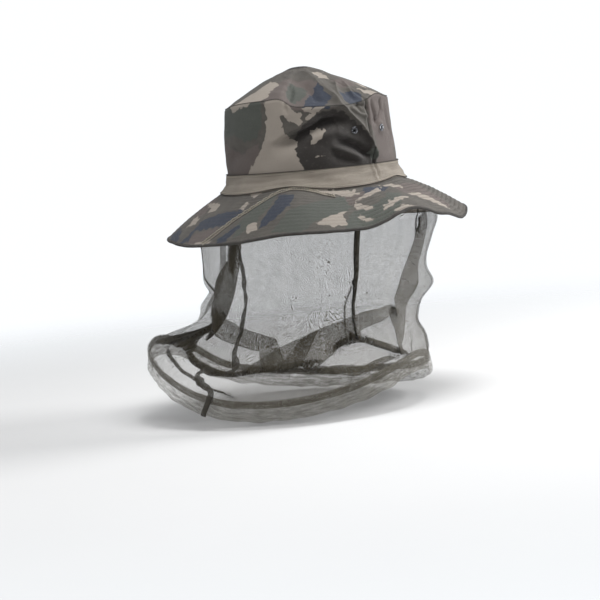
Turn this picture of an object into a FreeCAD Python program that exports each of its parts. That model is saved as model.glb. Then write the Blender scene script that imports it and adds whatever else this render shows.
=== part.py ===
import FreeCAD, Part
import Sketcher
import math
import os
import re
import sys

# A soft bush hat with a net veil that hangs from the underside of its brim and ends in an elastic hem.
# Frame: millimetres, +Z up, the wearer faces -Y and the wearer's right is -X. The origin is the centre of the
# head opening, in the plane of the seam where the crown meets the brim.

# Driving dimensions: alias, value in mm or degrees, meaning.
SIZES = [
    ("opening_half_width", 83.1, "inside half width of the sweatband, left to right"),
    ("opening_half_length", 98.6, "inside half length of the sweatband, front to back"),
    ("cloth", 1.0, "thickness of one ply of the crown, sweatband and hat band"),
    ("lay_gap", 0.1, "gap between plies that lie on each other"),
    ("sweatband_height", 32, "height of the sweatband above the brim seam"),
    ("crown_height", 83.5, "height of the crown wall"),
    ("tip_rise", 37.5, "rise of the domed top panel above the crown wall"),
    ("brim_reach", 72, "brim width, measured level"),
    ("brim_drop", 54.6, "how far the brim slopes down by its edge"),
    ("brim_ply", 1.2, "upright thickness of one brim ply"),
    ("binding_width", 1.2, "thickness of the tape round the brim's edge"),
    ("band_height", 11.8, "height of the hat band above the brim seam"),
    ("band_flare", 10, "how far the hat band spreads on to the brim"),
    ("eyelet_height", 49, "height of the eyelets above the brim seam"),
    ("eyelet_turn", 13, "angle from each side seam to its eyelets, in degrees"),
    ("eyelet_bore", 2.0, "radius of the eyelet's hole"),
    ("eyelet_flange", 4.0, "radius of the eyelet's flange"),
    ("eyelet_wall", 0.5, "thickness of the eyelet's metal"),
    ("veil_reach", 38.8, "where the veil is sewn under the brim, measured level from the brim seam"),
    ("tape_width", 9, "width of the tape that holds the veil's top edge, measured level"),
    ("net_wall", 1.0, "thickness that stands for the net"),
    ("net_clear", 0.5, "gap between the net and what it is sewn to"),
    ("waist_drop", 135, "depth of the veil's narrowest level below the brim seam"),
    ("waist_half_width", 112, "half width of the veil at its narrowest level"),
    ("waist_half_length", 125, "half length of the veil at its narrowest level"),
    ("waist_shift_side", 5, "how far the veil's narrowest level stands towards the wearer's left"),
    ("waist_shift_back", 20, "how far the veil's narrowest level stands towards the back"),
    ("hem_radius", 151, "radius of the middle of the hem"),
    ("hem_drop", 210, "depth of the hem's middle below the brim seam"),
    ("hem_shift_side", 14, "how far the hem's centre stands towards the wearer's left"),
    ("hem_shift_back", 50, "how far the hem's centre stands towards the back"),
    ("hem_tilt_back", 3, "how far the hem dips at the back, in degrees"),
    ("hem_tilt_right", 4, "how far the hem dips at the wearer's right, in degrees"),
    ("hem_height", 24, "height of the hem casing"),
    ("hem_depth", 5, "thickness of the hem casing, inside to outside"),
    ("hem_skin", 0.8, "thickness of the casing's net, folded double"),
    ("elastic_height", 9, "height of the flat elastic in the casing"),
    ("elastic_depth", 1.6, "thickness of the elastic"),
    ("seam_width", 8, "width of the veil's bound back seam"),
    ("seam_turn", 8, "how far the back seam stands round from the back towards the wearer's right, in degrees"),
]
SHEET = "Sizes"
UP = FreeCAD.Vector(0, 0, 1)
TO_BACK = FreeCAD.Rotation(UP, 90)  # turns a curve's start, and an ellipse's long axis, to point at the back
OVERSIZE = 400  # mm, so a cutting block reaches past every part
SIDES = {"right": -1, "left": 1}
ENDS = {"back": 1, "front": -1}
DOME = [(1.0, 0.0), (0.84, 0.4), (0.56, 0.76), (0.26, 0.95), (0.03, 1.0)]  # share of the size, share of the rise
MIN_VOLUME = 1.0  # mm3

document = FreeCAD.newDocument("VeilHat")
finished = []


def make_sheet():
    """The spreadsheet of driving dimensions, one alias to a row. Returns the values by alias."""
    cells = document.addObject("Spreadsheet::Sheet", SHEET)
    for row, (alias, value, meaning) in enumerate(SIZES, start=1):
        cells.set(f"A{row}", alias)
        cells.set(f"B{row}", str(value))
        cells.setAlias(f"B{row}", alias)
        cells.set(f"C{row}", meaning)
    document.recompute()
    return {alias: float(cells.get(alias)) for alias, _, _ in SIZES}


size = make_sheet()


def cell(text):
    """An expression in which each alias names its cell in the sheet."""
    return re.sub(r"[a-z_]{4,}", lambda alias: f"{SHEET}.{alias.group()}", text)


def bind(thing, **expressions):
    """Binds properties of a document object to expressions of the sheet's aliases."""
    for prop, text in expressions.items():
        thing.setExpression(prop.replace("__", "."), cell(text))
    return thing


def finish(thing, label):
    """Names a finished sub-part. Its label is its file's name."""
    thing.Label = label
    finished.append(thing)
    return thing


# ---- ovals: every level section of the hat is an ellipse with its long axis front to back

def oval(half_width, half_length, height, side="0", back="0"):
    """An ellipse at a height, given by expressions."""
    curve = document.addObject("Part::Ellipse", "Oval")
    curve.Placement.Rotation = TO_BACK
    return bind(curve, MajorRadius=half_length, MinorRadius=half_width, Placement__Base__x=side,
                Placement__Base__y=back, Placement__Base__z=height)


def wall_oval(outset, height):
    """The crown wall's inside face at a height, moved out by outset."""
    half = f"+ cloth + lay_gap + ( {outset} )"
    return oval(f"opening_half_width {half}", f"opening_half_length {half}", height)


def brim_oval(reach, lift):
    """The brim's top face at a reach from the seam, raised by lift."""
    half = f"+ 2 * cloth + 2 * lay_gap + ( {reach} )"
    height = f"( {lift} ) - brim_drop * ( {reach} ) / brim_reach"
    return oval(f"opening_half_width {half}", f"opening_half_length {half}", height)


def loft(sections, ruled=True):
    """A solid through closed sections."""
    solid = document.addObject("Part::Loft", "Loft")
    solid.Sections = sections
    solid.Solid = True
    solid.Ruled = ruled
    return solid


def upright(curve, height):
    """A solid straight up from a closed curve."""
    solid = document.addObject("Part::Extrusion", "Upright")
    solid.Base = curve
    solid.Dir = UP
    solid.DirMode = "Custom"
    solid.Solid = True
    return bind(solid, LengthFwd=height)


def cut(base, tool):
    """base without tool."""
    rest = document.addObject("Part::Cut", "Cut")
    rest.Base = base
    rest.Tool = tool
    return rest


def common(base, tool):
    """What base and tool share."""
    rest = document.addObject("Part::Common", "Common")
    rest.Base = base
    rest.Tool = tool
    return rest


def block(length, width, height, x, y, z):
    """A box whose sizes and lowest corner are given by expressions."""
    box = document.addObject("Part::Box", "Block")
    return bind(box, Length=length, Width=width, Height=height,
                Placement__Base__x=x, Placement__Base__y=y, Placement__Base__z=z)


# ---- crown

def wall_ring(outset, thickness, low, high):
    """A ring that lies along the crown wall, outset from the wall's inside face."""
    height = f"{high} - {low}"
    return cut(upright(wall_oval(f"{outset} + {thickness}", low), height), upright(wall_oval(outset, low), height))


def eyelet_place(side, end):
    """The placement of an eyelet: on the crown wall's outside face, with its own +Z pointing out of the hat."""
    outset = 2 * size["cloth"] + size["lay_gap"]
    half_width = size["opening_half_width"] + outset
    half_length = size["opening_half_length"] + outset
    turn = math.radians(size["eyelet_turn"])
    x = SIDES[side] * half_width * math.cos(turn)
    y = ENDS[end] * half_length * math.sin(turn)
    outward = FreeCAD.Vector(x / half_width ** 2, y / half_length ** 2, 0)
    return FreeCAD.Placement(FreeCAD.Vector(x, y, size["eyelet_height"]), FreeCAD.Rotation(UP, outward))


def eyelet_holes():
    """The punches for the four eyelet holes in the crown wall."""
    punches = document.addObject("Part::MultiFuse", "Punches")
    inward = FreeCAD.Placement(FreeCAD.Vector(0, 0, -3 * size["cloth"]), FreeCAD.Rotation())
    shapes = []
    for side in SIDES:
        for end in ENDS:
            punch = document.addObject("Part::Cylinder", "Punch")
            bind(punch, Radius="eyelet_bore + eyelet_wall + lay_gap", Height="6 * cloth")
            punch.Placement = eyelet_place(side, end) * inward
            shapes.append(punch)
    punches.Shapes = shapes
    return punches


def make_crown():
    """The crown wall's front and back panels, which meet at the side seams, and the domed top panel."""
    wall = cut(wall_ring("0", "cloth", "0", "crown_height"), eyelet_holes())
    for end, low_y in (("front", f"-{OVERSIZE}"), ("back", "0")):
        half = block(f"2 * {OVERSIZE}", f"{OVERSIZE}", f"{OVERSIZE}", f"-{OVERSIZE}", low_y, "-1")
        finish(common(wall, half), f"crown_{end}_panel")
    finish(cut(tip_dome("0"), tip_dome("cloth")), "crown_tip")


def tip_dome(sink):
    """The solid under the top panel, lowered by sink."""
    half = "+ 2 * cloth + lay_gap"
    sections = [oval(f"( opening_half_width {half} ) * {share}", f"( opening_half_length {half} ) * {share}",
                     f"crown_height + lay_gap + tip_rise * {rise} - {sink}") for share, rise in DOME]
    return loft(sections, ruled=False)


def make_bands():
    """The sweatband inside the crown, and the hat band that covers the brim seam outside."""
    finish(wall_ring("-1 * lay_gap - cloth", "cloth", "0", "sweatband_height"), "sweatband")
    collar = wall_ring("cloth + lay_gap", "cloth", "lay_gap", "band_height")
    flare = brim_ring("2 * lay_gap", "band_flare", "lay_gap + brim_ply", "brim_ply")
    band = document.addObject("Part::MultiFuse", "Band")
    band.Shapes = [collar, flare]
    finish(band, "hat_band")


# ---- brim

def brim_ring(inner_reach, outer_reach, lift, depth):
    """A sloping ring that lies along the brim: its top face is lift above the brim's top, and it is depth thick."""
    solid = loft([brim_oval(inner_reach, lift), brim_oval(outer_reach, lift)])
    hollow = loft([brim_oval(inner_reach, f"{lift} - {depth}"), brim_oval(outer_reach, f"{lift} - {depth}")])
    opening = upright(brim_oval(inner_reach, f"{lift} - {depth} - 1"), f"{depth} + 3")
    return cut(cut(solid, hollow), opening)


def make_brim():
    """Two cloth plies with a stiffening interlining between them, and the tape that binds their edges."""
    plies = ("brim_top_ply", "brim_interlining", "brim_bottom_ply")
    for number, label in enumerate(plies):
        lift = f"-{number} * ( brim_ply + lay_gap )"
        finish(brim_ring("lay_gap", "brim_reach", lift, "brim_ply"), label)
    stack = f"{len(plies)} * ( brim_ply + lay_gap )"
    height = f"{stack} + brim_ply"
    bottom = f"-1 * {stack} - brim_ply / 2"
    rings = [upright(oval_at_edge(reach, bottom), height)
             for reach in ("brim_reach + lay_gap + binding_width", "brim_reach + lay_gap")]
    finish(cut(*rings), "brim_edge_binding")


def oval_at_edge(reach, lift):
    """The brim's outline moved out to a reach, at the height of the brim's edge plus lift."""
    half = f"+ 2 * cloth + 2 * lay_gap + {reach}"
    return oval(f"opening_half_width {half}", f"opening_half_length {half}", f"{lift} - brim_drop")


# ---- eyelets

def revolved(label, corners, place):
    """A body turned about its own Z axis. Its profile's corners are (radius, height) pairs of expressions."""
    body = document.addObject("PartDesign::Body", "Turned")
    sketch = body.newObject("Sketcher::SketchObject", "Profile")
    plane = next(feature for feature in body.Origin.OriginFeatures if feature.Role == "XZ_Plane")
    sketch.AttachmentSupport = (plane, [""])
    sketch.MapMode = "FlatFace"
    count = len(corners)
    # The lines start as a round of points that the constraints then move to their places.
    drawn = [FreeCAD.Vector(3 + math.cos(2 * math.pi * n / count), math.sin(2 * math.pi * n / count), 0)
             for n in range(count)]
    for number in range(count):
        sketch.addGeometry(Part.LineSegment(drawn[number], drawn[(number + 1) % count]), False)
    for number in range(count):
        sketch.addConstraint(Sketcher.Constraint("Coincident", number, 2, (number + 1) % count, 1))
    for number, (radius, height) in enumerate(corners):
        hold(sketch, "DistanceX", number, drawn[number].x, radius)
        hold(sketch, "DistanceY", number, drawn[number].y, height)
    turn = body.newObject("PartDesign::Revolution", "Turn")
    turn.Profile = sketch
    turn.ReferenceAxis = (sketch, ["V_Axis"])
    turn.Angle = 360
    sketch.Visibility = False
    body.Placement = place
    return finish(body, label)


def hold(sketch, kind, number, value, text):
    """Holds the start of one line at a distance from the sketch's origin, bound to the sheet."""
    index = sketch.addConstraint(Sketcher.Constraint(kind, -1, 1, number, 1, value))
    sketch.setExpression(f"Constraints[{index}]", cell(text))


def make_eyelets():
    """Four pressed metal eyelets, each clenched over a washer on the inside of the crown."""
    inner_face = "-1 * cloth - 2 * lay_gap"
    barrel = "eyelet_bore + eyelet_wall"
    roll = f"{inner_face} - 2 * eyelet_wall"
    eyelet = [
        ("eyelet_bore", "eyelet_wall + lay_gap"),
        ("eyelet_flange", "eyelet_wall + lay_gap"),
        ("eyelet_flange", "lay_gap"),
        (barrel, "lay_gap"),
        (barrel, roll),
        (f"{barrel} + 2 * eyelet_wall", roll),
        (f"{barrel} + 2 * eyelet_wall", f"{roll} - eyelet_wall"),
        ("eyelet_bore", f"{roll} - eyelet_wall"),
    ]
    washer = [
        (f"{barrel} + lay_gap", inner_face),
        ("eyelet_flange", inner_face),
        ("eyelet_flange", f"{inner_face} - eyelet_wall"),
        (f"{barrel} + lay_gap", f"{inner_face} - eyelet_wall"),
    ]
    for side in SIDES:
        for end in ENDS:
            place = eyelet_place(side, end)
            revolved(f"eyelet_{side}_{end}", eyelet, place)
            revolved(f"eyelet_washer_{side}_{end}", washer, place)


# ---- veil

def hem_place(rise):
    """The placement of a level of the hem, rise above its middle along the hem's own axis."""
    dip_back = FreeCAD.Rotation(FreeCAD.Vector(1, 0, 0), -size["hem_tilt_back"])
    dip_right = FreeCAD.Rotation(FreeCAD.Vector(0, 1, 0), -size["hem_tilt_right"])
    tilt = dip_back.multiply(dip_right)
    middle = FreeCAD.Vector(size["hem_shift_side"], size["hem_shift_back"], -size["hem_drop"])
    return FreeCAD.Placement(middle + tilt.multVec(FreeCAD.Vector(0, 0, rise)), tilt)


def veil_solid(outset):
    """The solid inside the net: from the tape under the brim, through the waist, to the hem. Moved out by outset."""
    top_lift = "-1 * net_clear - 4 * ( brim_ply + lay_gap )"
    top = brim_oval(f"veil_reach + {outset}", top_lift)
    waist = oval(f"waist_half_width + {outset}", f"waist_half_length + {outset}", "-1 * waist_drop",
                 "waist_shift_side", "waist_shift_back")
    bottom = document.addObject("Part::Circle", "HemLevel")
    bind(bottom, Radius=f"hem_radius + {outset}")
    start_at_back = FreeCAD.Placement(FreeCAD.Vector(), TO_BACK)
    bottom.Placement = hem_place(size["hem_height"] / 2 + size["net_clear"]) * start_at_back
    return loft([top, waist, bottom])


def seam_place(outward, height):
    """The placement of a box that straddles the back seam: its inner bottom corner is outward from the axis."""
    turn = FreeCAD.Placement(FreeCAD.Vector(), FreeCAD.Rotation(UP, size["seam_turn"]))
    return turn * FreeCAD.Placement(FreeCAD.Vector(-size["seam_width"] / 2, outward, height), FreeCAD.Rotation())


def make_veil():
    """The tape under the brim, the net, and the bound seam down the back of the net."""
    tape_lift = "-3 * ( brim_ply + lay_gap )"
    finish(brim_ring("veil_reach - tape_width / 2", "veil_reach + tape_width / 2", tape_lift, "brim_ply"),
           "veil_top_tape")
    finish(cut(veil_solid("0"), veil_solid("-1 * net_wall")), "veil_net")
    strip = document.addObject("Part::Box", "Strip")
    bind(strip, Length="seam_width", Width=f"{OVERSIZE}", Height=f"{OVERSIZE}")
    strip.Placement = seam_place(0, -OVERSIZE)
    around = cut(veil_solid("net_clear + net_wall"), veil_solid("net_clear"))
    finish(common(around, strip), "veil_back_seam")


def make_hem():
    """The hem: a casing of doubled net, open by a slit along its top, the flat elastic in it, and its seam tab."""
    out, tall = "hem_depth / 2", "hem_height / 2"
    middle = "hem_radius"
    slit = "lay_gap"
    casing = [
        (f"{middle} - {slit}", tall),
        (f"{middle} - {out}", tall),
        (f"{middle} - {out}", f"-1 * {tall}"),
        (f"{middle} + {out}", f"-1 * {tall}"),
        (f"{middle} + {out}", tall),
        (f"{middle} + {slit}", tall),
        (f"{middle} + {slit}", f"{tall} - hem_skin"),
        (f"{middle} + {out} - hem_skin", f"{tall} - hem_skin"),
        (f"{middle} + {out} - hem_skin", f"-1 * {tall} + hem_skin"),
        (f"{middle} - {out} + hem_skin", f"-1 * {tall} + hem_skin"),
        (f"{middle} - {out} + hem_skin", f"{tall} - hem_skin"),
        (f"{middle} - {slit}", f"{tall} - hem_skin"),
    ]
    revolved("hem_casing", casing, hem_place(0))
    low = f"{tall} - hem_skin - lay_gap - elastic_height"
    elastic = [
        (f"{middle} - elastic_depth / 2", low),
        (f"{middle} + elastic_depth / 2", low),
        (f"{middle} + elastic_depth / 2", f"{low} + elastic_height"),
        (f"{middle} - elastic_depth / 2", f"{low} + elastic_height"),
    ]
    revolved("hem_elastic", elastic, hem_place(0))
    tab = document.addObject("Part::Box", "Tab")
    bind(tab, Length="seam_width", Width="net_wall", Height="hem_height")
    outside = size["hem_radius"] + size["hem_depth"] / 2 + size["lay_gap"]
    tab.Placement = hem_place(0) * seam_place(outside, -size["hem_height"] / 2)
    finish(tab, "hem_seam_tab")


def check_and_write():
    """Recomputes the document, stops on any fault, and writes one STEP file for each finished sub-part."""
    document.recompute()
    failed = [o.Label for o in document.Objects if "Invalid" in o.State or "Error" in o.State]
    if failed:
        sys.exit(f"these objects failed: {failed}")
    os.makedirs("parts", exist_ok=True)
    for thing in finished:
        shape = thing.Shape
        if shape.isNull() or not shape.isValid() or shape.Volume < MIN_VOLUME:
            sys.exit(f"{thing.Label} has no valid solid")
        shape.exportStep(os.path.join("parts", thing.Label + ".step"))
        box = shape.BoundBox
        print(f"{thing.Label:28s} {len(shape.Solids)} solid, {shape.Volume:9.1f} mm3, "
              f"z {box.ZMin:7.1f} to {box.ZMax:7.1f}, y {box.YMin:7.1f} to {box.YMax:7.1f}")


make_crown()
make_bands()
make_brim()
make_eyelets()
make_veil()
make_hem()
check_and_write()
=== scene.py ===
import math

import bmesh
import bpy
import numpy as np
from mathutils import Matrix, Vector


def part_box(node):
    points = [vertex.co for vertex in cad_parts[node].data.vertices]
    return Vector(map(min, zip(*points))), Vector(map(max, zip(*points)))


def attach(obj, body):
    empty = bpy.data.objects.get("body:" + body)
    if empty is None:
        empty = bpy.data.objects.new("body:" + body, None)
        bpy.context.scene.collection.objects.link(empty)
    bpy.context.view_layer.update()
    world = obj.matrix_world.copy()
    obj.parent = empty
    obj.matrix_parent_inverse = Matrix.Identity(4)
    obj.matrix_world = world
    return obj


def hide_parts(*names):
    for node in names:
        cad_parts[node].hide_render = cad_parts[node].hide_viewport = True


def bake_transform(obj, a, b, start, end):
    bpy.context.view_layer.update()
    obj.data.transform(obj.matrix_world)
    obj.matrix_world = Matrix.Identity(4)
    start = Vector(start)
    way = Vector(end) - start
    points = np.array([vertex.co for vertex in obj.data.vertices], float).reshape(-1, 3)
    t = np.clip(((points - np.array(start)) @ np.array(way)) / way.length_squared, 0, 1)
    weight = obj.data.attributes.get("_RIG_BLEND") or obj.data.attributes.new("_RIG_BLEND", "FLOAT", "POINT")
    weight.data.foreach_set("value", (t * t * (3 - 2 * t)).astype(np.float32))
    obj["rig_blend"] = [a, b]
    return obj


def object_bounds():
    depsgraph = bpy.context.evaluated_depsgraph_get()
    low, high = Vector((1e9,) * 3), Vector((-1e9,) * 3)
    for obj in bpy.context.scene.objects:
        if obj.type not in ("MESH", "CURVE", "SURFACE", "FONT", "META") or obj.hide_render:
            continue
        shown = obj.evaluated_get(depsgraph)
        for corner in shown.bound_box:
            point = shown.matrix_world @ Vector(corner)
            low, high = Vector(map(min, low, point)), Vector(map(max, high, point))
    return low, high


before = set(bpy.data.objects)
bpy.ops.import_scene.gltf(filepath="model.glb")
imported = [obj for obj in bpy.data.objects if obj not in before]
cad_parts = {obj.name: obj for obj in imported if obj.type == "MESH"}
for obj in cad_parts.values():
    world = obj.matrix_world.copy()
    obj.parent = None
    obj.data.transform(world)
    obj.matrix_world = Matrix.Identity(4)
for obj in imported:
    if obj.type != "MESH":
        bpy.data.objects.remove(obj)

# A soft bush hat with an insect-net veil. Shapes are worked out in millimetres and scaled as a mesh is made.
# A place round the hat is given by its turn in degrees: 0 is the wearer's left (+X), 90 the back (+Y),
# 180 the wearer's right and 270 the front. The camera looks from turn 131.

cad_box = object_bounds()
MM = 0.001


def size_of(node):
    """A CAD node's lowest and highest corner, in mm."""
    low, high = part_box(node)
    return np.array(low) / MM, np.array(high) / MM


CROWN_HALF = size_of("crown_tip")[1][:2]  # half width and half length of the crown's outside
CROWN_TOP = size_of("crown_tip")[1][2]
ROOT_HALF = CROWN_HALF + 0.1  # where the brim starts
BRIM_REACH = size_of("brim_top_ply")[1][0] - ROOT_HALF[0]
TAPE_HALF_WIDTH = 4.5
VEIL_REACH = size_of("veil_top_tape")[1][0] - ROOT_HALF[0] - TAPE_HALF_WIDTH  # the tape's middle
EYELETS = [f"eyelet_{side}_{end}" for side in ("right", "left") for end in ("back", "front")]
HEM_LOW, HEM_HIGH = size_of("hem_casing")
HEM_CENTRE = (HEM_LOW + HEM_HIGH) / 2
HEM_RADIUS = (HEM_HIGH[0] - HEM_LOW[0]) / 2 - 2.5
HEM_HEIGHT = 22
CAMERA_TURN = 131


# ---- numbers round the hat

def blend_knots(t, step, first, first_slope, last, last_slope):
    """A cubic from first to last, with their slopes, over a step. t runs from 0 to 1."""
    return ((2 * t**3 - 3 * t**2 + 1) * first + (t**3 - 2 * t**2 + t) * step * first_slope
            + (3 * t**2 - 2 * t**3) * last + (t**3 - t**2) * step * last_slope)


def hermite(knots, values, at):
    """A smooth curve through (knot, value) pairs."""
    slopes = np.gradient(values, knots)
    i = np.clip(np.searchsorted(knots, at) - 1, 0, len(knots) - 2)
    step = knots[i + 1] - knots[i]
    t = np.clip((at - knots[i]) / step, 0, 1)
    return blend_knots(t, step, values[i], slopes[i], values[i + 1], slopes[i + 1])


def around(*pairs):
    """A smooth function of the turn that closes after a full turn, through (turn, value) pairs."""
    turns = np.array([p[0] for p in pairs], float)
    values = np.tile(np.array([p[1] for p in pairs], float), 3)
    knots = np.concatenate([turns - 360, turns, turns + 360])
    return lambda turn: hermite(knots, values, np.mod(turn, 360))


def smooth(low, high, x):
    """0 below low, 1 above high, and smooth between."""
    t = np.clip((x - low) / (high - low), 0, 1)
    return t * t * (3 - 2 * t)


def hump(x, middle, width):
    """A smooth bump, 1 at its middle."""
    return np.exp(-((x - middle) / width) ** 2)


def turn_gap(turn, middle):
    """The signed way round from middle to turn, in degrees."""
    return np.mod(turn - middle + 180, 360) - 180


def outward(turn, rise=0.0):
    """The level way out of the hat at a turn, with a rise added to it."""
    radians = np.radians(turn)
    return np.stack([np.cos(radians), np.sin(radians), np.full_like(radians, rise)], axis=-1)


def unit(ways):
    """Vectors scaled to a length of 1."""
    return ways / np.linalg.norm(ways, axis=-1, keepdims=True)


def grid(turns, shares):
    """The turn and the share at each point of a grid."""
    return np.meshgrid(turns, shares, indexing="ij")


def round_again(flat, arc):
    """The flat grid of a closed round, with its first row again after the full turn."""
    return np.concatenate([flat, flat[:1] + [360 * arc, 0]], axis=0)


def swell(points, wavelength, seed):
    """A smooth random field of about -1 to 1, with features about half a wavelength across."""
    rng = np.random.default_rng(seed)
    waves = 12
    total = 0
    for _ in range(waves):
        way = rng.normal(size=points.shape[-1])
        way *= 2 * math.pi / (np.linalg.norm(way) * wavelength * rng.uniform(0.7, 1.5))
        total = total + np.sin(points @ way + rng.uniform(0, 2 * math.pi))
    return total / math.sqrt(waves)


def to_path(points, path):
    """For flat points: signed distance to a path (its left side is positive), the share of the path's length
    at the nearest place, and the path's left-hand normal there."""
    path = np.array(path, float)
    steps = np.linalg.norm(np.diff(path, axis=0), axis=1)
    total = steps.sum()
    best = np.full(points.shape[:-1], 1e9)
    share = np.zeros_like(best)
    normal = np.zeros(points.shape)
    done = 0.0
    for start, end, length in zip(path[:-1], path[1:], steps):
        way = (end - start) / length
        left = np.array([-way[1], way[0]])
        t = np.clip((points - start) @ way, 0, length)
        off = points - start - t[..., None] * way
        distance = np.linalg.norm(off, axis=-1)
        side = np.where(off @ left >= 0, 1.0, -1.0)
        nearer = distance < np.abs(best)
        best = np.where(nearer, distance * side, best)
        share = np.where(nearer, (done + t) / total, share)
        normal = np.where(nearer[..., None], left, normal)
        done += length
    return best, share, normal


def crease(points, path, depth, above, below, fade=0.25, sharp=False):
    """A fold line in cloth: how far it moves each point. above and below are its widths on its two sides."""
    distance, share, _ = to_path(points, path)
    width = np.where(distance > 0, above, below)
    fall = np.exp(-np.abs(distance) / width) if sharp else np.exp(-(distance / width) ** 2)
    return depth * fall * smooth(0, fade, share) * smooth(0, fade, 1 - share)


# ---- crown: the wall runs from the brim seam to the rim, and the top panel from the rim to the peak

WALL_ARC = 1.63  # mm round the crown to a degree of turn
rim_height = around((0, 83), (30, 83.5), (58, 83), (75, 86), (92, 87.5), (106, 88), (118, 87.5), (124, 81),
                    (137, 78), (150, 77), (168, 77), (180, 80), (194, 86), (207, 83), (240, 83), (290, 84),
                    (330, 83))
rim_inset = around((41, 2), (90, 1.5), (131, 1), (150, -1.5), (160, 0), (185, 3), (221, 4.5), (270, 3),
                   (330, 2))
PEAK = np.array([5, 4.4, CROWN_TOP])
SIDE_SEAMS = (180.5, 0)  # their turns


def unroll(turn, height):
    """A place on the crown wall, laid out flat."""
    return np.stack([np.asarray(turn) * WALL_ARC, np.asarray(height) + 0 * np.asarray(turn)], axis=-1)


def laid(path):
    """A path of (turn, height) pairs laid out flat with the crown wall."""
    return [(turn * WALL_ARC, height) for turn, height in path]


WALL_CREASES = [  # path, depth, width above, width below, share that fades, sharp
    ([(107, 38), (118, 46), (128, 51), (138, 57), (146, 63), (155, 64.5), (163, 61)],
     -12, 2.2, 11, 0.3, False),
    ([(126, 44), (140, 47), (152, 50), (164, 46)], 3.5, 7, 6, 0.3, False),
    ([(149, 42), (160, 38), (168, 32.5), (176, 24), (183, 15)], -8, 3, 6, 0.3, False),
    ([(148, 34), (157, 30), (166, 22), (174, 14)], 3, 4, 4, 0.3, False),
    ([(146, 34), (154, 23), (164, 16), (172, 12)], -3.5, 3, 6, 0.35, False),
    ([(155, 82), (161, 74), (164.5, 68), (168.5, 60), (172.5, 52), (176, 44), (181, 29), (183.5, 12)],
     7, 2.4, 4.5, 0.1, True),
    ([(165, 75), (171, 68), (176, 64), (182, 62)], 3, 1.8, 2.4, 0.25, True),
    ([(167, 74), (174.5, 75), (179, 73), (182, 66)], -3, 1.8, 1.8, 0.2, True),
    ([(199, 84), (199, 68), (192.5, 59), (185, 53)], -3.5, 2, 2.6, 0.2, True),
    ([(121.5, 92), (121, 80), (122, 70)], -2.5, 1.5, 3, 0.4, False),
    ([(186, 84), (187, 70), (190, 55), (191, 40)], -3, 3, 2.5, 0.3, False),
    ([(205, 80), (207, 60), (211, 35)], -2.5, 4, 4, 0.3, False),
    ([(172, 80), (173, 72), (176, 64)], -2, 2, 2, 0.3, False),
    ([(200, 22), (210, 34), (222, 42)], -2.5, 4, 6, 0.4, False),
    ([(60, 20), (75, 33), (92, 40)], -1.8, 6, 8, 0.4, False),
    ([(48, 62), (62, 58), (78, 62)], -1.5, 6, 8, 0.4, False),
    ([(262, 20), (275, 42), (292, 52)], -5, 3, 8, 0.35, False),
    ([(300, 66), (316, 60), (332, 63)], -4, 3, 8, 0.35, False),
    ([(0, 30), (14, 44), (30, 50)], -3.5, 4, 8, 0.35, False),
    ([(340, 16), (352, 24), (366, 22)], -3, 3, 6, 0.35, False),
]


def near_eyelets(flat, clamped=4.5, free=10):
    """1 beside an eyelet, where the cloth is clamped flat, and 0 away from all of them."""
    near = 0.0
    for name in EYELETS:
        x, y, height = sum(size_of(name)) / 2
        turn = math.degrees(math.atan2(y / CROWN_HALF[1], x / CROWN_HALF[0])) % 360
        for lap in (0, 360):
            far = np.linalg.norm(flat - unroll(turn + lap, height), axis=-1)
            near = np.maximum(near, smooth(free, clamped, far))
    return near


def crown_wall(turn, share):
    """The crown wall's outside. share runs from 0 at the brim seam to 1 at the rim."""
    rim = rim_height(turn)
    height = rim * share
    flat = unroll(turn, height)
    out = 1.2 * np.sin(math.pi * share) - rim_inset(turn) * smooth(0.1, 1, share)
    loose = smooth(0.1, 0.3, share)
    for path, depth, above, below, fade, sharp in WALL_CREASES:
        span = 360 if path[0][0] > 330 or path[-1][0] > 360 else 0
        for lap in {0, -span}:
            moved = [(t + lap, h) for t, h in path]
            out = out + loose * crease(flat, laid(moved), depth, above, below, fade, sharp)
    dent = hump(turn_gap(turn, 154), 0, 13) * hump(height, 67, 10)
    out = out - 6.5 * dent * smooth(1, 0.9, share)
    radians = np.radians(turn)
    round_way = outward(turn) + height[..., None] * [0, 0, 1 / 80]
    out = out + loose * 0.9 * swell(round_way * 60, 60, 3) + loose * 0.25 * swell(round_way * 60, 16, 4)
    seam = np.minimum(*[np.abs(turn_gap(turn, side)) for side in SIDE_SEAMS])
    out = out - 1.6 * hump(seam, 0, 0.8) + 0.8 * hump(seam, 2.4, 1.3)
    out = out - 1.0 * smooth(0.97, 1, share)
    out = out * (1 - near_eyelets(flat))
    return np.stack([(CROWN_HALF[0] + out) * np.cos(radians),
                     (CROWN_HALF[1] + out) * np.sin(radians), height], axis=-1)


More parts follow.
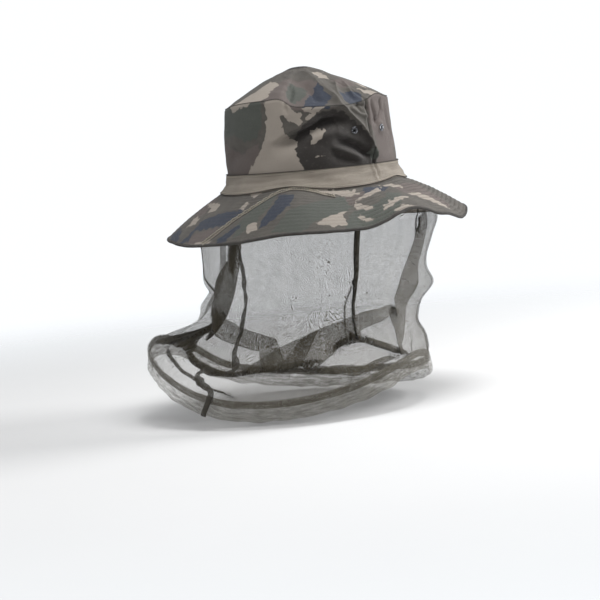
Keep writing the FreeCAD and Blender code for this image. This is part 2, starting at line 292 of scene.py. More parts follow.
TIP_CREASES = [  # the same, in plan
    ([(-8, 20), (-24, 21), (-39, 27), (-50, 32), (-59, 33), (-68, 34), (-82, 38)], 4.6, 2.4, 4, 0.12, True),
    ([(-42, 0), (-55, 13), (-63, 21), (-70, 25), (-80, 29)], 3.0, 2.4, 2.6, 0.2, True),
    ([(-45, -9), (-57, -2), (-67, 4), (-78, 9)], 2.8, 2.4, 2.6, 0.2, True),
    ([(-16, 44), (-34, 58), (-52, 68)], 1.6, 7, 7, 0.3, False),
    ([(-28, 36), (-48, 46), (-68, 54)], -3.4, 5, 5, 0.25, False),
    ([(-46, 84), (-36, 64), (-24, 50)], -2.6, 4, 2, 0.35, False),
    ([(-60, 4), (-72, 8), (-84, 12)], -2.0, 4, 4, 0.3, False),
    ([(-58, -14), (-70, -18), (-84, -24)], -2.4, 4, 3, 0.3, False),
    ([(20, -10), (36, -28), (54, -60)], 2, 6, 6, 0.35, False),
    ([(-4, -12), (-20, -46), (-30, -78)], -3, 6, 6, 0.3, False),
    ([(26, 22), (50, 40), (66, 56)], -1.6, 8, 8, 0.3, False),
]


def crown_tip(turn, share):
    """The top panel. share runs from 0 at the peak to 1 at the rim."""
    edge = crown_wall(turn, np.ones_like(turn))
    level = (np.sqrt(share**2 + 0.04) - 0.2) / (math.sqrt(1.04) - 0.2)
    plan = PEAK[:2] * (1 - share)[..., None] + edge[..., :2] * share[..., None]
    height = PEAK[2] + (edge[..., 2] - PEAK[2]) * level + 1.5 * np.sin(math.pi * share)
    for path, depth, above, below, fade, sharp in TIP_CREASES:
        height = height + smooth(1, 0.9, share) * crease(plan, path, depth, above, below, fade, sharp)
    loose = smooth(1, 0.85, share)
    height = height + loose * (0.8 * swell(plan, 55, 8) + 0.25 * swell(plan, 16, 9))
    height = height - 0.8 * smooth(0.985, 1, share)
    return np.concatenate([plan, height[..., None]], axis=-1)


# ---- brim

brim_edge_drop = around((0, 49), (25, 51), (47, 53), (62, 53.5), (75, 55.5), (85, 56.5), (95, 56), (104, 54),
                        (112, 51.5), (120, 49), (127, 49), (138, 51.5), (146, 52), (152.6, 50.5), (158.6, 46),
                        (165, 40), (170, 37), (174, 36.5), (180, 40), (186, 45.5), (197, 50), (206, 54.5),
                        (213, 54), (222, 48.5), (235, 43.5), (255, 50), (275, 53), (300, 50), (325, 53),
                        (345, 50))
band_foot_drop = around((20, 8), (48, 8.4), (65, 10), (84, 10), (101, 8), (111, 6), (121, 5.2), (133, 8),
                        (144, 10.5), (157, 11), (171, 10.4), (183, 8.3), (197, 5.5), (208, 8), (230, 9),
                        (260, 8), (290, 9), (330, 8))
BAND_FOOT = 10.2  # mm, the band's reach on to the brim
TWIN_SEAM = [(84.5, 73), (88.5, 62.4), (94.9, 44.9), (103.2, 30.2), (112.9, 16.7), (122.6, 11.6),
             (132.6, 12.2), (139.3, 17.2), (146, 22)]  # turn, reach
BRIM_ARC = 2.3  # mm round the brim to a degree of turn
QUILT_PITCH = 4.4
BRIM_THICK = 3.2


def ply_thickness(reach):
    """How thick the brim is: less where its edge is pressed and bound."""
    return BRIM_THICK - 1.2 * smooth(BRIM_REACH - 8, BRIM_REACH, reach)


def brim_flat(turn, reach):
    """A place on the brim, laid out flat."""
    return np.stack([turn * BRIM_ARC, reach + 0 * turn], axis=-1)


def quilting(turn, reach):
    """How strongly the brim is quilted: it fades out to the left of the oblique twin seam."""
    distance, _, _ = to_path(brim_flat(np.mod(turn, 360), reach), [(t * BRIM_ARC, r) for t, r in TWIN_SEAM])
    left = smooth(3, -3, turn_gap(turn, 90)) + smooth(-2, 2, distance) * (np.abs(turn_gap(turn, 110)) < 40)
    return 1 - 0.75 * np.clip(left, 0, 1) * smooth(20, 40, np.mod(turn, 360)) * (np.mod(turn, 360) < 200)


def brim(turn, reach, stitched=1.0):
    """The brim's top side. reach is measured level, outwards from the brim seam."""
    share = reach / BRIM_REACH
    foot = BAND_FOOT / BRIM_REACH
    edge, root = brim_edge_drop(turn), band_foot_drop(turn)
    inner = root * (share / foot)
    outer = root + (edge - root) * ((share - foot) / (1 - foot))
    sag = 2.2 * np.sin(math.pi * np.clip((share - foot) / (1 - foot), 0, 1))
    slope = smooth(0.5 * foot, 1.8 * foot, share)
    drop = inner * (1 - slope) + (outer - sag) * slope
    radians = np.radians(turn)
    way = np.stack([np.cos(radians), np.sin(radians)], axis=-1) * (90 + np.asarray(reach))[..., None]
    drop = drop + share * (0.9 * swell(way, 70, 21) + 0.15 * swell(way, 18, 22))
    ridge = [(206, 11), (203.5, 34), (206.5, 50), (210.5, 74)]
    flat = brim_flat(np.mod(turn, 360), reach)
    drop = drop - crease(flat, [(t * BRIM_ARC, r) for t, r in ridge], 3.2, 7, 5, 0.2, True)
    rows = 0.5 - 0.5 * np.cos(2 * math.pi * (reach - 2) / QUILT_PITCH)
    drop = drop + stitched * 1.1 * quilting(turn, reach) * (1 - rows**0.6) * smooth(0, 0.06, 1 - share)
    twin, _, _ = to_path(flat, [(t * BRIM_ARC, r) for t, r in TWIN_SEAM])
    drop = drop + stitched * 0.4 * (hump(twin, 3.4, 0.9) + hump(twin, -3.4, 0.9) + hump(twin, 0, 0.8))
    wider = around((41, 0.5), (131, 0), (172, -1.5), (221, 1.5), (310, 0))(turn) * share
    return np.stack([(ROOT_HALF[0] + reach + wider) * np.cos(radians),
                     (ROOT_HALF[1] + reach + wider) * np.sin(radians), -drop], axis=-1)


# ---- veil: the smooth hull that the net hangs on, and the folds that the net is laid in

hem_height_at = around((5, -180), (22, -171), (40, -177), (55, -186), (71, -200), (87, -215), (104, -226),
                       (122, -229), (138, -227), (154, -221), (168, -213), (179, -206), (195, -199),
                       (208, -203), (222, -212), (240, -223), (265, -231), (311, -232), (342, -214))
NET_FOOT = HEM_HEIGHT / 2 - 1  # where the net ends, above the hem's middle
TAPE_DROP = 3.2  # where the net leaves its tape, below the brim's under side


def hem_middle(turn):
    """The middle of the hem casing."""
    centre = np.array([HEM_CENTRE[0], HEM_CENTRE[1], 0])
    return centre + HEM_RADIUS * outward(turn) + hem_height_at(turn)[..., None] * [0, 0, 1]


def veil_top(turn):
    """Where the net leaves its tape."""
    place = brim(turn, np.full_like(turn, VEIL_REACH), 0)
    return place - np.array([0, 0, BRIM_THICK + TAPE_DROP])


HULL = [  # share of the way down, half width, half length, shift in X and Y
    (0.28, 118, 132, 1, 5),
    (0.52, 113, 127, 4, 14),
    (0.70, 117, 130, 6, 26),
    (0.86, 137, 143, 10, 39),
]
BULGES = [  # turn, height, width in degrees, height of the bulge, how far out
    (45, -121, 20, 14, -16), (40, -145, 27, 12.6, -43), (38, -151.5, 24, 6, -20), (222, -56, 18, 14, 4),
    (221, -92, 20, 10, -1), (222, -126, 22, 14, 13), (221, -165, 25, 10, -5), (285, -120, 25, 25, 7),
    (330, -90, 20, 20, -5),
]


def veil_hull(turn, share):
    """The smooth surface that the net hangs on. share runs from 0 at the tape to 1 at the hem's top."""
    radians = np.radians(turn)
    top, foot = veil_top(turn), hem_middle(turn) + np.array([0, 0, NET_FOOT])
    rings = [top[..., :2]]
    for _, half_width, half_length, side, back in HULL:
        across, along = half_width * np.cos(radians), half_length * np.sin(radians)
        rings.append(np.stack([side + across, back + along], axis=-1))
    rings.append(foot[..., :2])
    shares = np.array([0] + [level[0] for level in HULL] + [1], float)
    stack = np.stack(rings, axis=-2)
    slopes = np.gradient(stack, shares, axis=-2)
    clipped = np.clip(share, 0, 1)
    i = np.clip(np.searchsorted(shares, clipped) - 1, 0, len(shares) - 2)
    step = (shares[i + 1] - shares[i])[..., None]
    t = (clipped - shares[i])[..., None] / step
    ends = [np.take_along_axis(table, index[..., None, None], axis=-2)[..., 0, :]
            for index in (i, i + 1) for table in (stack, slopes)]
    plan = blend_knots(t, step, *ends)
    height = top[..., 2] + (foot[..., 2] - top[..., 2]) * share
    out = 0
    for middle, level, wide, tall, far in BULGES:
        out = out + far * hump(turn_gap(turn, middle), 0, wide) * hump(height, level, tall)
    plan = plan + out[..., None] * outward(turn)[..., :2]
    return np.concatenate([plan, height[..., None]], axis=-1)


NET_ARC = 2.4  # mm round the net to a degree of turn
# Each fold has a path of (turn, height), the overlap at each of its points, how far its layers part, how many
# times it is laid, and how gathered its threads look, which also darkens it as painted shade.
FOLDS = [
    ([(93.5, -40), (91.5, -65), (87, -86), (82, -104), (78.5, -122), (77.5, -140), (79, -156)],
     [6, 12, 19, 29, 33, 26, 5], 2.5, 1, 0.7),
    ([(95, -40), (91, -60), (88, -76), (86, -92)], [4, 8, 8, 1], 1.5, 1, 0.6),
    ([(46, -44), (47, -70), (50, -88), (58, -99), (66, -108), (74, -117)], [5, 3, 2.5, 2.5, 3, 1], 1, 1, 0.7),
    ([(197, -38), (199.5, -65), (199, -92), (195.5, -118), (190.5, -142), (185.5, -165), (181, -189)],
     [27, 35, 41, 43, 38, 24, 2], 2.2, 1, 0.36),
    ([(192, -38), (192.5, -50), (194, -62), (196, -74)], [7, 7, 5, 1], 1.5, 1, 0.8),
    ([(218, -38), (219, -80), (219.5, -125), (219, -165), (218, -206)], [8, 9, 9, 7, 5], 1.6, 1, 0.2),
    ([(154, -40), (153.5, -74), (155, -101), (156, -126), (155, -146), (153.5, -161)],
     [6, 6, 5, 4, 2.5, 0.5], 1, 2, 1),
    ([(154, -104), (153, -118), (151, -133), (149, -149)], [0.5, 1.5, 1.5, 0.5], 0.8, 1, 0.3),
    ([(68, -131), (73, -136), (80, -142.5), (89.5, -150), (98.5, -155.5), (108, -161), (121.5, -168),
      (134, -175), (147, -184)], [6, 13, 17, 18, 16, 15, 13, 10, 2], 2.5, 1, 0.2),
    ([(104, -189), (111.5, -186), (116.5, -183), (128, -176), (142, -168), (149, -162), (160.5, -151),
      (173.5, -147), (190, -142)], [2, 10, 17, 25, 32, 30, 18, 13, 8], 2.5, 1, 0.2),
    ([(62, -155), (68, -162), (75.5, -169), (83, -179), (91, -186), (100, -191), (107, -191), (115.5, -189),
      (125.5, -188), (136.5, -186), (146, -185)], [3, 4.5, 4.5, 4.5, 4.5, 4, 4, 3.5, 3, 2.5, 1], 1.6, 2, 0.5),
    ([(147, -182), (149, -173), (155, -168), (162, -168), (168.5, -173), (177, -181), (187, -189),
      (198, -196)], [2, 5, 5, 5, 6, 6, 4, 0.5], 2, 2, 0.45),
    ([(132, -188), (140.5, -192), (149, -194), (156.5, -197), (162, -197), (168, -193), (175, -190),
      (184, -192)], [1, 6, 8, 9, 9, 8, 5, 0.5], 2, 1, 0.3),
    ([(38, -156), (50, -152), (62, -146), (73.5, -139)], [3, 6, 8, 3], 2.5, 1, 0.3),
    ([(75, -139), (68, -146), (66, -152), (71, -158), (77, -166)], [2, 6, 7, 5, 2], 1.5, 1, 0.35),
    ([(38, -161), (48, -159), (57, -158), (70, -163), (79, -174)], [3, 8, 9, 6, 2], 2.5, 1, 0.5),
    ([(53, -163), (60, -168), (66, -173), (76, -184), (85, -193), (93, -202), (102, -208), (111, -217)],
     [1, 2, 2.2, 2.2, 2.2, 2, 1.6, 0.5], 1, 1, 0.8),
    ([(194, -166), (193, -174), (191, -184), (190, -194)], [0.5, 2, 2, 0.5], 1, 1, 0.4),
    ([(10, -38), (12, -75), (12, -110), (10, -140), (9, -168)], [12, 17, 18, 12, 2], 2, 1, 0.15),
]


def lay_fold(flat, path, overlaps, part):
    """A Z-shaped fold along a path: how far each flat point moves in the sheet, how far it moves off it, the
    cloth that the fold takes up there, and how near the point is to the fold's middle and to its edges."""
    knots = np.arange(len(path))
    at = np.linspace(0, len(path) - 1, 4 * len(path))
    turns, heights = [hermite(knots, np.array(column, float), at) for column in zip(*path)]
    overlaps = np.interp(at, knots, overlaps)
    path = np.stack([turns * NET_ARC, heights], axis=-1)
    distance, share, normal = to_path(flat, path)
    lengths = np.concatenate([[0], np.cumsum(np.linalg.norm(np.diff(path, axis=0), axis=1))])
    overlap = np.interp(share * lengths[-1], lengths, overlaps)
    reach = 1.09 * overlap + 1.5
    fade = smooth(0, 0.08, share) * smooth(0, 0.08, 1 - share)
    t = np.clip(np.abs(distance) / reach, 0, 1)
    side = np.sign(distance)
    back = 3 * t * (1 - t**2) ** 2
    turning, deepest = 0.36, 0.459  # where the cloth turns back, and how far it has come by then
    laid_length = np.where(t < turning, back - t, t - back + 2 * deepest)
    moved = (-back * reach * fade * side)[..., None] * normal
    taken = ((laid_length - t) * reach * fade * side)[..., None] * normal
    off = part * fade * 2.6 * t * (1 - t**2) * np.minimum(1, overlap / 4) * side
    middle = fade * smooth(1.3 * turning, turning, t)
    edges = fade * hump((t - turning) * reach, 0, 1.1)
    return moved, off, taken, middle, edges


def net_surface(turn, share):
    """The net with its folds, each point's place in the flat cloth, and a field of gathered threads and
    painted shade.
    """
    top = veil_top(turn)[..., 2]
    foot = hem_height_at(turn) + NET_FOOT
    laid = np.stack([turn * NET_ARC, top + (foot - top) * share], axis=-1)
    flat = laid.copy()
    held = smooth(0, 0.10, share) * smooth(0, 0.05, 1 - share)
    off = np.zeros_like(turn)
    # The net's sides get denser threads and, from the same field, a little painted shade.
    left_side = smooth(84, 62, turn) * smooth(10, 30, turn)
    right_side = smooth(188, 204, turn) * smooth(250, 225, turn)
    bunched_and_shaded = 0.14 * np.maximum(left_side, right_side)
    for path, overlaps, part, times, dense in FOLDS:
        for _ in range(times):
            moved, lift, taken, middle, edges = lay_fold(laid, path, overlaps, part)
            bunched_and_shaded = np.maximum(bunched_and_shaded, np.maximum(dense * middle, 0.5 * edges))
            laid = laid + moved * held[..., None]
            flat = flat + taken * held[..., None]
            off = off + lift * held
    at = laid[..., 0] / NET_ARC
    down = np.clip((laid[..., 1] - top) / (foot - top), 0.0, 1.0)
    way = 130 * outward(at) + laid[..., 1:] * [0, 0, 1]
    off = off + held * (1.6 * swell(way * [1, 1, 0.45], 42, 31) + 0.2 * swell(way * [1, 1, 0.6], 17, 32))
    gather = np.sin(np.radians(turn) * 58 + 2.2 * np.sin(np.radians(turn) * 7))
    off = off + 1.1 * gather * np.exp(-share / 0.16)
    off = off + 0.9 * np.sin(np.radians(turn) * 74) * np.exp((share - 1) / 0.05)
    return veil_hull(at, down) + off[..., None] * outward(at, 0.25), flat, bunched_and_shaded


# ---- camouflage print, with a patch of painted shade on the crown wall: for each colour, how far inside its nearest patch a place is, in mm

WALL_PRINT_AND_SHADE = {  # outlines of (turn, height)
    # Painted shade: a darker print colour laid over the hollow below the deep crease, left of the right side
    # seam, where the wall is in shadow.
    "dark": [
        [(124, 42), (126, 50), (133, 60), (142, 70), (152, 73), (160, 70), (168, 56), (176, 44), (181, 28),
         (182, 8), (150, 6), (132, 6), (130, 14.5), (127, 25), (125, 34)],
    ],
    "tan": [
        [(106, 90), (107, 71), (106, 56), (102, 40), (97, 29), (89, 15), (86, 4), (130, 4), (129.5, 14.5),
         (127, 25), (125.5, 34), (127, 42), (122, 46), (118.5, 52), (118, 61), (116, 71), (119.5, 72),
         (121, 67), (124, 62), (131, 60), (131, 70), (125, 77), (123, 90)],
        [(137, 53), (146, 54), (144.6, 46), (141, 42), (138.5, 39), (135, 38), (137.5, 44), (136.5, 49)],
        [(132, 79), (139, 77), (138, 74), (143, 79), (150, 84), (148, 77), (141, 70), (135, 63), (134, 67),
         (138, 71), (134, 73.5)],
        [(137.5, 23), (140, 27.5), (144, 24), (141.3, 25.5)],
        [(64, 90), (70, 84), (76, 77), (80, 81), (92, 84), (96, 92)],
    ],
    "navy": [
        [(133, 84), (133, 77), (150, 74), (152, 84)],
    ],
    "brown": [
        [(36, 8), (36, 42), (58, 46), (72, 38), (84, 33), (92, 40), (99, 44), (100, 34), (94, 22), (86, 8)],
        [(108, 88), (124, 88), (150, 86), (146, 76), (134, 72), (124, 78), (112, 84)],
        [(182, 86), (181, 56), (186, 40), (184, 8), (216, 6), (210, 22), (222, 36), (214, 58), (221, 72),
         (212, 88)],
    ],
    "green": [
        [(40, 92), (44, 60), (58, 52), (74, 55), (88, 46), (98, 50), (103, 62), (104, 92)],
        [(236, 14), (242, 34), (254, 30), (268, 24), (276, 10), (248, 4)],
        [(177.5, 27), (183, 28), (185, 17), (179, 14)],
    ],
}
TIP_PRINT = {  # outlines in plan
    "dark": [],
    "tan": [
        [(3, 53), (-10, 56), (-15, 61), (-17, 76), (-22, 89), (-19, 94), (-4, 104), (26, 100), (16, 86),
         (6, 71)],
        [(-18, 10), (-32, 12), (-36, 4), (-24, -2)],
        [(-64, -8), (-74, -10), (-88, -22), (-84, -40), (-70, -26)],
        [(-40, -30), (-52, -20), (-58, -34), (-46, -44)],
    ],
    "navy": [
        [(-43, 30), (-60, 37), (-68, 37), (-70, 50), (-70, 66), (-58, 73), (-50, 56), (-46, 40)],
        [(-61, 17), (-66, 2), (-73, -5), (-82, 4), (-86, 20), (-76, 26)],
    ],
    "brown": [
        [(-10, 46), (-34, 28), (-46, 33), (-52, 55), (-60, 74), (-44, 88), (-26, 98), (-20, 88), (-14, 62)],
        [(-2, 20), (-10, 14), (-8, 8), (4, 12)],
        [(-40, 4), (-58, 8), (-60, -14), (-44, -18)],
    ],
    "green": [
        [(-22, 50), (-40, 43), (-48, 58), (-48, 76), (-36, 74), (-27, 62)],
        [(30, 60), (12, 40), (24, 20), (56, 36), (62, 66)],
    ],
}
BRIM_PRINT = {  # outlines of (turn, reach)
    "dark": [],
    "tan": [
        [(49, 26), (57, 22), (69, 21), (74, 24), (74, 31), (68, 34), (66, 28), (56, 26)],
        [(57, 44), (60, 40), (66, 43), (67, 49), (60, 54), (61, 48)],
        [(104, 51), (109, 52), (109.5, 61), (105, 63)],
        [(92, 8), (103, 8), (99, 16), (96, 13)],
        [(73, 75), (77, 71), (84, 66), (90, 68), (88, 76)],
        [(133.5, 62), (139, 53), (148, 45), (144.5, 54), (145.5, 66), (139, 66.5)],
        [(153, 34), (159, 28), (168.5, 22), (175, 17.5), (170, 27), (160, 33)],
        [(153.5, 36), (158, 46), (159.5, 52.5), (153.5, 48), (151, 40)],
        [(146, 10), (156, 15), (159.5, 23), (152, 25), (145, 17)],
        [(151, 52), (156.5, 63), (153.5, 66), (151, 61)],
        [(163.5, 54), (174, 46.5), (179.5, 49), (173, 53.5), (166, 59), (161.5, 59.5)],
        [(130, 10), (142, 9), (150, 14), (160, 13), (158, 18), (140, 17)],
        [(93, 30), (95, 22), (98, 22), (96, 34)],
        [(174, 14), (184, 17), (190, 27), (182, 25)],
        [(183, 38), (190, 36), (197, 46), (204, 61), (198, 62), (190, 50)],
        [(164, 66), (170, 62), (176, 70), (168, 75)],
    ],
    "navy": [
        [(115.5, 19), (124.5, 22), (122, 38), (117, 51), (110, 61), (110.5, 50), (114, 32)],
        [(70, 44), (81, 35), (91, 32), (98, 31), (95, 42), (91, 50), (72, 57), (75, 67), (69, 72), (71, 54)],
        [(97, 55), (101, 50), (97, 68), (92, 75), (92.5, 65)],
        [(52, 56), (60, 60), (66, 70), (56, 74), (50, 66)],
        [(166, 10), (178, 22), (172, 30), (160, 26)],
    ],
    "brown": [
        [(46, 18), (58, 14), (66, 36), (60, 46), (50, 36)],
        [(74, 60), (88, 52), (92, 60), (84, 68), (74, 72)],
        [(148, 30), (156, 20), (168, 22), (160, 32), (150, 40)],
        [(184, 18), (206, 26), (212, 44), (206, 60), (190, 50), (180, 34)],
    ],
    "green": [
        [(100, 40), (104, 24), (114, 16), (112, 34), (106, 56), (100, 66), (98, 52)],
        [(142, 76), (148, 50), (166, 44), (172, 34), (178, 40), (170, 60), (158, 76)],
        [(116, 66), (122, 44), (136, 30), (150, 22), (150, 44), (134, 58), (126, 74)],
    ],
}
FREE_PRINT = {  # level and seed of the noise
    "dark": (0.9, 49), "tan": (0.85, 41), "navy": (1.1, 43), "brown": (0.25, 45), "green": (0.3, 47),
}
PRINT_DEPTH = 12  # mm, as far inside or outside a patch as a field tells


def inside(points, outline):
    """How far inside an outline each point is. Outside is negative."""
    ring = list(outline) + [outline[0]]
    distance, _, _ = to_path(points, ring)
    crossings = np.zeros(points.shape[:-1], int)
    x, y = points[..., 0], points[..., 1]
    for (x0, y0), (x1, y1) in zip(ring[:-1], ring[1:]):
        spans = (y0 > y) != (y1 > y)
        if y0 != y1:
            crossings += spans & (x < x0 + (y - y0) * (x1 - x0) / (y1 - y0))
    return np.abs(distance) * np.where(crossings % 2 == 1, 1, -1)


def printed(flat, place, outlines, stretch, seen):
    """The print's fields at flat points; the crown wall's "dark" outline is painted shade. Where seen is 0
    the patches come from noise.
    """
    wobble = np.stack([1.0 * swell(flat, 8, 51) + 0.5 * swell(flat, 3.5, 53),
                       1.0 * swell(flat, 8, 52) + 0.5 * swell(flat, 3.5, 54)], axis=-1)
    fields = {}
    for colour, shapes in outlines.items():
        nearest = np.full(flat.shape[:-1], -float(PRINT_DEPTH))
        for shape in shapes:
            scaled = [(x * stretch, y) for x, y in shape]
            nearest = np.maximum(nearest, inside(flat + wobble, scaled))
        level, seed = FREE_PRINT[colour]
        loose = 9 * (swell(place * [1, 1, 1.5], 62, seed) + 0.35 * swell(place, 20, seed + 1) - level)
        placed, loose = [np.clip(field, -PRINT_DEPTH, PRINT_DEPTH) for field in (nearest, loose)]
        fields[colour] = placed * seen + loose * (1 - seen)
    return fields


# ---- meshes

def srgb(red, green, blue):
    """A colour given 0 to 255, as the linear colour that Blender wants."""
    return tuple((c / 255 / 12.92 if c / 255 <= 0.04045 else ((c / 255 + 0.055) / 1.055) ** 2.4)
                 for c in (red, green, blue)) + (1.0,)


def finish_piece(name, points, faces, material, body="hat", corner_uv=None, fields=None):
    """A mesh object from points in mm."""
    mesh = bpy.data.meshes.new(name)
    mesh.from_pydata((np.asarray(points) * MM).tolist(), [], [tuple(face) for face in faces])
    mesh.shade_smooth()
    if corner_uv is not None:
        layer = mesh.uv_layers.new(name="cloth")
        layer.data.foreach_set("uv", np.asarray(corner_uv, float).ravel())
    for field, values in (fields or {}).items():
        layer = mesh.attributes.new(field, "FLOAT", "POINT")
        layer.data.foreach_set("value", np.asarray(values, float).ravel())
    mesh.materials.append(material)
    piece = bpy.data.objects.new(name, mesh)
    bpy.context.scene.collection.objects.link(piece)
    if body:
        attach(piece, body)
    return piece


def cloth_grid(name, points, flat, material, closed=False, flip=False, fields=None, body="hat",
               tube=False, holes=None):
    """A cloth from a grid of points. flat holds each point's place in the flat cloth, with the last row or
    column again after a closed round. There is no cloth where holes is 1."""
    rows, columns = points.shape[:2]
    row_steps = rows if closed else rows - 1
    column_steps = columns if tube else columns - 1
    i, j = np.meshgrid(np.arange(row_steps), np.arange(column_steps), indexing="ij")
    corner_rows = np.stack([i, i + 1, i + 1, i], axis=-1).reshape(-1, 4)
    corner_columns = np.stack([j, j, j + 1, j + 1], axis=-1).reshape(-1, 4)
    if flip:
        corner_rows, corner_columns = corner_rows[:, ::-1], corner_columns[:, ::-1]
    faces = (corner_rows % rows) * columns + corner_columns % columns
    corner_uv = flat[corner_rows, corner_columns]
    if holes is not None:
        kept = holes.ravel()[faces].max(axis=1) < 0.5
        faces, corner_uv = faces[kept], corner_uv[kept]
    return finish_piece(name, points.reshape(-1, 3), faces.tolist(), material, body, corner_uv, fields)


def thicken(piece, thickness):
    """Gives a cloth its thickness, on the side away from its normals."""
    layer = piece.modifiers.new("thickness", "SOLIDIFY")
    layer.thickness = thickness * MM
    layer.offset = -1
    return piece


def surface_normals(points, closed):
    """Unit normals of a grid of points, along turn x share."""
    if closed:
        along = np.roll(points, -1, axis=0) - np.roll(points, 1, axis=0)
    else:
        along = np.gradient(points, axis=0)
    across = np.gradient(points, axis=1)
    normal = np.cross(along, across)
    return normal / np.maximum(np.linalg.norm(normal, axis=-1, keepdims=True), 1e-9)


# ---- materials

class Graph:
    """A material's node tree, with short ways to add nodes."""

    def __init__(self, name):
        self.material = bpy.data.materials.new(name)
        self.material.use_nodes = True
        self.tree = self.material.node_tree
        self.tree.nodes.clear()
        self.output = self.tree.nodes.new("ShaderNodeOutputMaterial")

    def node(self, kind, inputs, out=0, **settings):
        made = self.tree.nodes.new("ShaderNode" + kind)
        for key, value in settings.items():
            setattr(made, key, value)
        for key, value in inputs.items():
            if isinstance(value, bpy.types.NodeSocket):
                self.tree.links.new(value, made.inputs[key])
            else:
                made.inputs[key].default_value = value
        return made.outputs[out]

    def math(self, operation, a, b=0.0, c=0.0):
        return self.node("Math", {0: a, 1: b, 2: c}, operation=operation)

    def field(self, name):
        return self.node("Attribute", {}, out="Fac", attribute_name=name)

    def flat(self):
        """The place in the flat cloth, in mm."""
        return self.node("UVMap", {}, uv_map="cloth")

    def noise(self, place, scale, detail=2.0):
        return self.node("TexNoise", {"Vector": place, "Scale": scale, "Detail": detail}, out="Fac")

    def ramp(self, value, low, high):
        """0 below low and 1 above high."""
        inputs = {"Value": value, "From Min": low, "From Max": high}
        return self.node("MapRange", inputs, interpolation_type="SMOOTHSTEP")

    def mix(self, share, first, second, blend="MIX"):
        inputs = {0: share, 6: first, 7: second}
        return self.node("Mix", inputs, out=2, data_type="RGBA", blend_type=blend)

    def bump(self, height, distance, strength=1.0, normal=None):
        inputs = {"Height": height, "Distance": distance * MM, "Strength": strength}
        if normal is not None:
            inputs["Normal"] = normal
        return self.node("Bump", inputs)

    def surface(self, **inputs):
        made = self.tree.nodes.new("ShaderNodeBsdfPrincipled")
        for key, value in inputs.items():
            socket = made.inputs[key.replace("_", " ")]
            if isinstance(value, bpy.types.NodeSocket):
                self.tree.links.new(value, socket)
            else:
                socket.default_value = value
        self.tree.links.new(made.outputs[0], self.output.inputs[0])
        return self.material

    def weave(self, place, pitch):
        """A plain weave's height: warp and weft over and under each other."""
        split = self.node("SeparateXYZ", {"Vector": place}).node
        across = self.math("MULTIPLY", split.outputs[0], 2 * math.pi / pitch)
        along = self.math("MULTIPLY", split.outputs[1], 2 * math.pi / pitch)
        warp = self.math("SINE", across)
        weft = self.math("SINE", along)
        return self.math("MULTIPLY", warp, weft)


BASE = srgb(81, 77, 72)
PRINT_AND_SHADE_COLOURS = {
    # "dark" is painted shade where the crown wall's outline lays it, and a print colour where noise scatters
    # it.
    "dark": srgb(52, 48, 45), "brown": srgb(96, 87, 83), "green": srgb(78, 81, 75),
    "navy": srgb(50, 56, 69), "tan": srgb(156, 147, 137),
}


def camo_material(name, quilted):
    """Printed ripstop-like cotton. The print's colours come from the fields that the mesh carries; the "dark"
    field is painted shade on the crown wall and print elsewhere, and quilted cloth has lines of painted shade
    along its rows.
    """
    graph = Graph(name)
    place = graph.flat()
    ragged = graph.math("SUBTRACT", graph.noise(place, 0.9, 4.0), 0.5)
    broad = graph.noise(place, 0.08, 3.0)
    colour = graph.mix(graph.ramp(broad, 0.35, 0.65), BASE, srgb(89, 85, 79))
    for patch_name, patch_colour in PRINT_AND_SHADE_COLOURS.items():
        edge = graph.math("MULTIPLY_ADD", ragged, 2.4, graph.field(patch_name))
        colour = graph.mix(graph.ramp(edge, -0.25, 0.25), colour, patch_colour)
    speckle = graph.noise(place, 1.6, 3.0)
    colour = graph.mix(graph.ramp(speckle, 0.2, 0.8), colour, (0.6, 0.6, 0.6, 1), "OVERLAY")
    worn = graph.mix(graph.ramp(graph.noise(place, 0.35, 5.0), 0.55, 0.8), colour, srgb(122, 117, 112))
    colour = graph.mix(0.25, colour, worn)
    bump = graph.bump(graph.weave(place, 0.7), 0.12)
    bump = graph.bump(graph.noise(place, 0.25, 3.0), 0.6, 0.5, bump)
    if quilted:
        split = graph.node("SeparateXYZ", {"Vector": place}).node
        row = graph.math("COSINE", graph.math("MULTIPLY", graph.math("SUBTRACT", split.outputs[1], 2.0),
                                              2 * math.pi / QUILT_PITCH))
        dash = graph.math("SINE", graph.math("MULTIPLY", split.outputs[0], 2 * math.pi / 3.0))
        # Painted shade: the quilting rows are darkened as if their stitched grooves lay in shadow.
        line = graph.math("MULTIPLY", graph.ramp(row, 0.72, 0.98), graph.field("quilt"))
        colour = graph.mix(graph.math("MULTIPLY", line, 0.6), colour, srgb(44, 42, 38))
        thread = graph.math("MULTIPLY", graph.ramp(row, 0.95, 0.99), graph.ramp(dash, -0.1, 0.4))
        thread = graph.math("MULTIPLY", thread, graph.field("quilt"))
        colour = graph.mix(graph.math("MULTIPLY", thread, 0.7), colour, srgb(112, 106, 92))
        bump = graph.bump(thread, 0.3, 0.8, bump)
    return graph.surface(Base_Color=colour, Roughness=0.78, Sheen_Weight=0.12, Sheen_Roughness=0.5,
                         Specular_IOR_Level=0.35, Normal=bump)


def cloth_material(name, colour, second, pitch=0.6, patch=0.15):
    """Plain woven cloth or tape in two close shades."""
    graph = Graph(name)
    place = graph.flat()
    shade = graph.mix(graph.ramp(graph.noise(place, patch, 4.0), 0.3, 0.7), colour, second)
    speckle = graph.ramp(graph.noise(place, 1.5, 2.0), 0.2, 0.8)
    shade = graph.mix(speckle, shade, (0.58, 0.58, 0.58, 1), "OVERLAY")
    bump = graph.bump(graph.weave(place, pitch), 0.15)
    bump = graph.bump(graph.noise(place, 0.3, 3.0), 0.5, 0.6, bump)
    return graph.surface(Base_Color=shade, Roughness=0.85, Sheen_Weight=0.15, Sheen_Roughness=0.5,
                         Specular_IOR_Level=0.3, Normal=bump)


